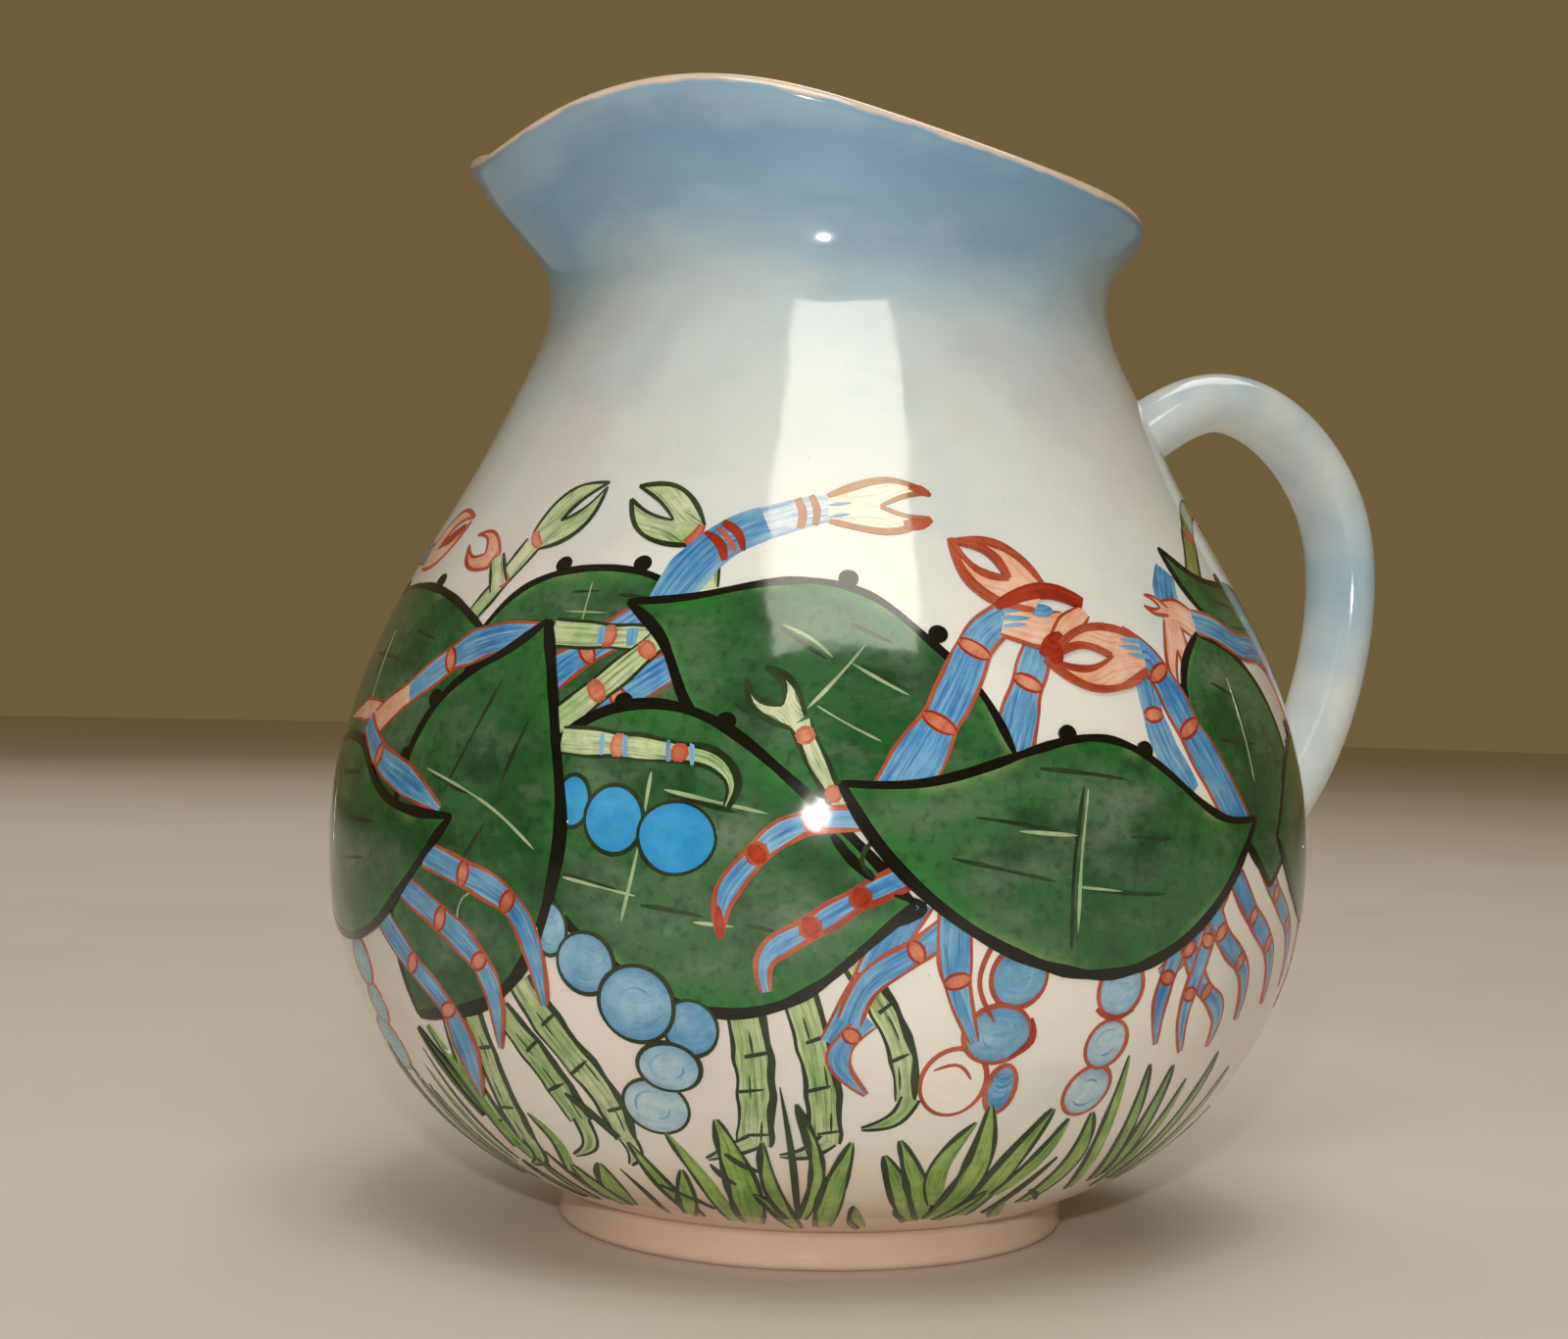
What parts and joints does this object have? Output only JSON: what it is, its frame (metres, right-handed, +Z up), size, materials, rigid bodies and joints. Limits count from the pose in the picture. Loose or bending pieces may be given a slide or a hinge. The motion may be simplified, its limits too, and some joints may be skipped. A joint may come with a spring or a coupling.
{
  "type": "ceramic pitcher",
  "caption": "Round-bellied glazed ceramic pitcher with a flared wavy rim, a pulled pouring spout, a looped oval handle and a turned foot ring.",
  "frame": {"origin": "on the pot's axis, in the plane that the foot ring stands on", "axes": "+Z up along the pot's axis, +X towards the handle, -X towards the pouring spout; the pot is symmetric about the XZ plane"},
  "size_m": [0.2428, 0.2033, 0.2259],
  "materials": {
    "body_glaze": "gloss clear glaze over a sky-blue wash",
    "foot_glaze": "gloss clear glaze over a peach wash",
    "handle_glaze": "gloss clear glaze over a pale blue wash",
    "painted_decoration": "hand-painted underglaze colours under the clear glaze"
  },
  "bodies": {
    "root": {"body": "body_glaze", "foot_ring": "foot_glaze", "handle": "handle_glaze", "upper_slip_fillet": "handle_glaze", "lower_slip_fillet": "handle_glaze"}
  },
  "joints": []
}
